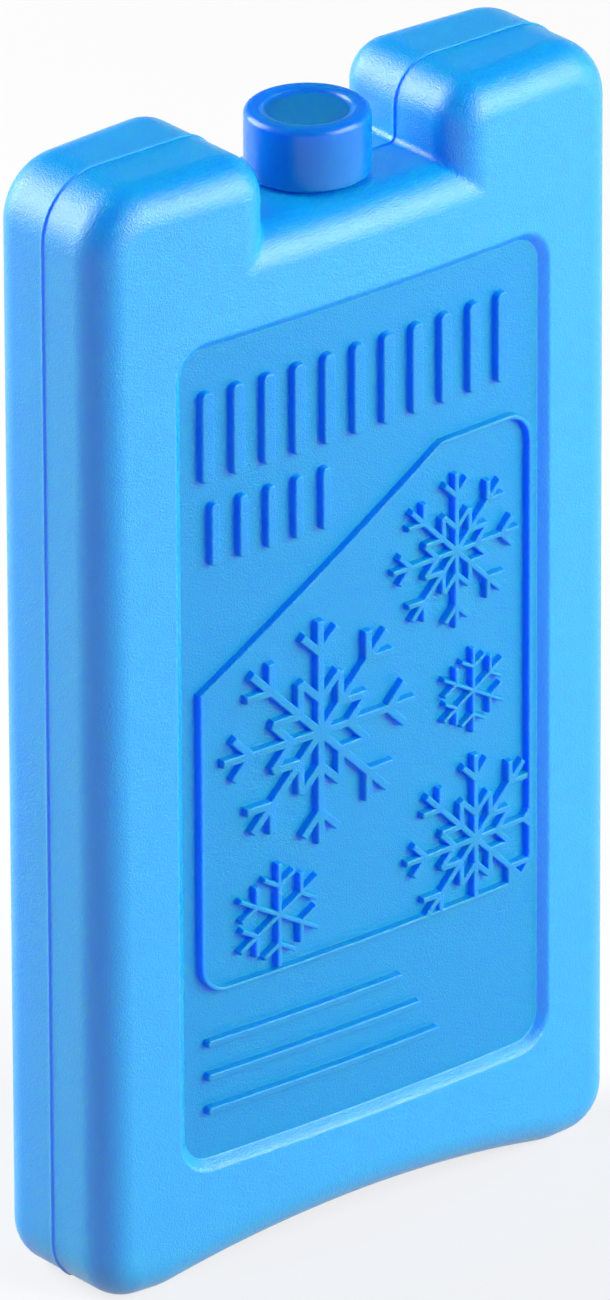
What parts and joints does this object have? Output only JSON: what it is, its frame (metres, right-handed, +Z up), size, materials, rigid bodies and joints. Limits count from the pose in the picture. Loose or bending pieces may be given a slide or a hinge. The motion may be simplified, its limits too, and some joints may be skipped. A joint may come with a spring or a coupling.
{
  "type": "reusable ice pack",
  "caption": "Flat blow-moulded freezer block that stands upright, with a capped neck between two shoulders and a recessed front panel with raised snowflakes and ribs.",
  "frame": {"origin": "middle of the footprint, in the plane that the feet stand on", "axes": "+Z up along the height, -Y out of the front face with the panel, +X to the right seen from the front"},
  "size_m": [0.0834, 0.0246, 0.1502],
  "materials": {
    "shell": "satin",
    "cap": "gloss"
  },
  "bodies": {
    "root": {"bottle": "shell", "cap": "cap"}
  },
  "joints": []
}
